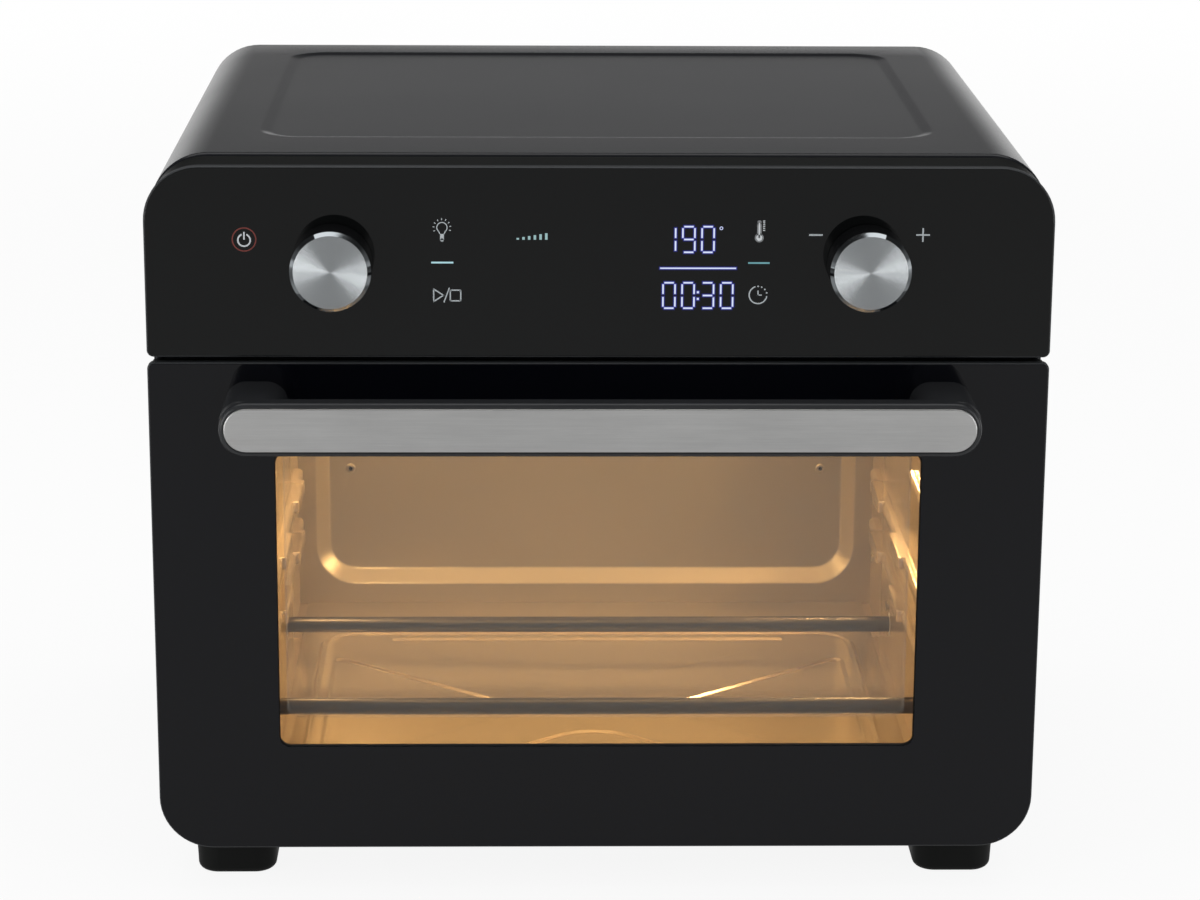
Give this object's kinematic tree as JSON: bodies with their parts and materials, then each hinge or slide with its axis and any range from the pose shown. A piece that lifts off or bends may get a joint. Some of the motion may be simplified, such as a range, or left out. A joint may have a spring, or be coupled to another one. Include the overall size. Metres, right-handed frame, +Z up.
{
  "type": "countertop oven",
  "caption": "Countertop oven with a glass door that drops down on bottom hinges, a glass panel with turning knobs, heater tubes, a crumb tray, a lamp and a hot-air fan.",
  "frame": {"origin": "middle of the outline's bottom, on the plane the feet stand on", "axes": "+X to the right seen from the front, +Y to the back, +Z up; the door and the knobs face -Y"},
  "size_m": [0.4, 0.3722, 0.3408],
  "materials": {
    "panel_glass": "polished, printed black behind",
    "door_glass": "polished",
    "clear_glass": "polished",
    "black_print": "gloss",
    "cover_paint": "satin powder coat",
    "zinc_steel": "galvanised sheet",
    "chamber_steel": "aluminised sheet, semi-bright",
    "tray_steel": "pressed sheet, semi-bright",
    "inner_steel": "satin",
    "heater_tube": "oxidised",
    "steel_rod": "ground",
    "fastener": "zinc plated",
    "fan_metal": "stamped",
    "motor": "laminated",
    "ceramic": "unglazed",
    "black_plastic": "fine grain",
    "handle_black": "smooth",
    "handle_steel": "fine lengthwise brushing",
    "knob_black": "gloss",
    "knob_metal": "spun, with a bright cut edge",
    "circuit": "coated board",
    "display": "filter",
    "encoder": "moulded",
    "seal": "silicone"
  },
  "bodies": {
    "cabinet": {"back_cover": "cover_paint", "back_screws": "fastener", "base_plate": "zinc_steel", "base_screws": "fastener", "cavity_back_wall": "chamber_steel", "cavity_ceiling": "chamber_steel", "cavity_floor": "chamber_steel", "cavity_left_wall": "chamber_steel", "cavity_right_wall": "chamber_steel", "cavity_screws": "fastener", "control_board": "circuit", "control_glass": "panel_glass", "control_housing": "black_plastic", "cord_gland": "black_plastic", "cover_screws": "fastener", "crumb_tray": "tray_steel", "display_module": "display", "door_seal": "seal", "door_switch": "black_plastic", "fan_chamber": "zinc_steel", "fan_guard": "chamber_steel", "fan_motor": "motor", "feet": "black_plastic", "front_frame": "cover_paint", "heater_insulators": "ceramic", "lamp_bulb": "clear_glass", "lamp_housing": "zinc_steel", "lamp_lens": "clear_glass", "left_encoder": "encoder", "left_hinge_bracket": "zinc_steel", "lower_front_heater": "heater_tube", "lower_rear_heater": "heater_tube", "motor_bracket": "zinc_steel", "outer_cover": "cover_paint", "power_board": "circuit", "right_encoder": "encoder", "right_hinge_bracket": "zinc_steel", "temperature_probe": "steel_rod", "terminal_block": "black_plastic", "thermal_cutout": "fan_metal", "upper_front_heater": "heater_tube", "upper_rear_heater": "heater_tube"},
    "door": {"door_glass": "door_glass", "door_mask": "black_print", "door_frame": "black_plastic", "inner_frame": "inner_steel", "inner_glass": "clear_glass", "glass_retainer": "zinc_steel", "door_handle": "handle_black", "handle_plate": "handle_steel", "handle_screws": "fastener", "left_hinge_pin": "steel_rod", "right_hinge_pin": "steel_rod"},
    "left_knob_body": {"left_knob": "knob_black", "left_knob_cap": "knob_metal"},
    "right_knob_body": {"right_knob": "knob_black", "right_knob_cap": "knob_metal"},
    "fan": {"motor_shaft": "steel_rod", "hot_air_fan": "fan_metal", "cooling_fan": "fan_metal"}
  },
  "joints": [
    {"name": "door_hinge", "type": "hinge", "parent": "cabinet", "child": "door", "pos_m": [0, -0.13745, 0.024], "axis": [1, 0, 0], "range_deg": [0, 82], "stiffness_Nm_per_rad": 0.8, "springref_deg": -22.92},
    {"name": "left_knob_turn", "type": "hinge", "parent": "cabinet", "child": "left_knob_body", "pos_m": [-0.1175, -0.15, 0.2946], "axis": [0, 1, 0], "continuous": true},
    {"name": "right_knob_turn", "type": "hinge", "parent": "cabinet", "child": "right_knob_body", "pos_m": [0.1175, -0.15, 0.2946], "axis": [0, 1, 0], "continuous": true},
    {"name": "fan_spin", "type": "hinge", "parent": "cabinet", "child": "fan", "pos_m": [0, 0.01315, 0.28], "axis": [0, 0, 1], "continuous": true}
  ]
}
